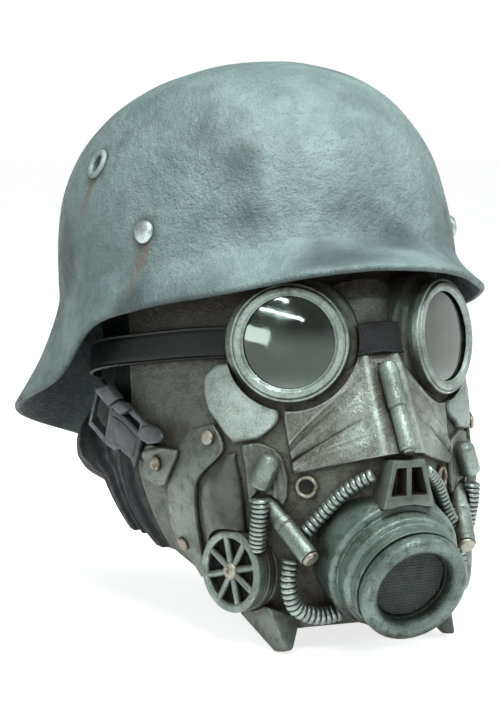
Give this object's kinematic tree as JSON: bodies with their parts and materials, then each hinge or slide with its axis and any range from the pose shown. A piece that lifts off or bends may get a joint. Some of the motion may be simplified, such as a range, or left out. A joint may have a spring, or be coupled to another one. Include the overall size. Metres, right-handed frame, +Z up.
{
  "type": "gas mask style costume mask",
  "caption": "Overhead costume mask: flared helmet over a hooded face mask with round goggles, ribbed hoses, spoked cheek canisters and a round open muzzle.",
  "frame": {"origin": "where the inside of the helmet's crown rests on the wearer's head; the mask hangs below it", "axes": "+Z up, -Y the way the mask faces, +X the wearer's left; the head is tipped back 15 degrees as in the picture"},
  "size_m": [0.2566, 0.339, 0.3149],
  "materials": {
    "helmet": "matt weathered grey-green paint on a moulded shell",
    "mask_shell": "aged grey-brown moulded rubber with a fine grain",
    "pewter": "dull silver paint with dark wash in the hollows",
    "dark_pewter": "dark grey-brown metallic paint, worn",
    "hose": "ribbed hose with dull silver paint",
    "rivet_metal": "tarnished copper-grey metal",
    "hood_rubber": "black folded rubber",
    "strap_rubber": "smooth black rubber strap",
    "buckle_plastic": "blue-grey moulded plastic",
    "lens": "dark polished lens",
    "gauze": "dark perforated gauze"
  },
  "bodies": {
    "root": {"vent_eyelet_right": "helmet", "helmet_rivet_right": "rivet_metal", "vent_eyelet_left": "helmet", "helmet_rivet_left": "rivet_metal", "helmet_shell": "helmet", "face_shell": "mask_shell", "hood": "hood_rubber", "eyecup_right": "dark_pewter", "lens_right": "lens", "bezel_right": "pewter", "eyecup_left": "dark_pewter", "lens_left": "lens", "bezel_left": "pewter", "goggle_strap": "strap_rubber", "bridge_strap": "strap_rubber", "cheek_guard_right": "pewter", "jaw_plate_right": "dark_pewter", "anchor_plate_right": "pewter", "anchor_rivet_right": "rivet_metal", "upper_rivet_right": "rivet_metal", "lower_rivet_right": "rivet_metal", "webbing_right": "strap_rubber", "buckle_right": "buckle_plastic", "buckle_clip_right": "buckle_plastic", "cheek_panel_right": "dark_pewter", "duct_panel_right": "dark_pewter", "side_hose_right": "hose", "junction_pipe_right": "pewter", "pipe_cap_right": "rivet_metal", "upper_hose_right": "hose", "lower_hose_right": "hose", "grommet_right": "rivet_metal", "filter_body_right": "dark_pewter", "filter_wheel_right": "pewter", "cheek_guard_left": "pewter", "jaw_plate_left": "dark_pewter", "anchor_plate_left": "pewter", "anchor_rivet_left": "rivet_metal", "upper_rivet_left": "rivet_metal", "lower_rivet_left": "rivet_metal", "webbing_left": "strap_rubber", "buckle_left": "buckle_plastic", "buckle_clip_left": "buckle_plastic", "cheek_panel_left": "dark_pewter", "duct_panel_left": "dark_pewter", "side_hose_left": "hose", "junction_pipe_left": "pewter", "pipe_cap_left": "rivet_metal", "upper_hose_left": "hose", "lower_hose_left": "hose", "grommet_left": "rivet_metal", "filter_body_left": "dark_pewter", "filter_wheel_left": "pewter", "nose_pipe": "pewter", "snout_cover": "pewter", "vent_frame": "dark_pewter", "muzzle_body": "pewter", "muzzle_ring": "pewter", "muzzle_gauze": "gauze", "chin_plate": "pewter"}
  },
  "joints": []
}
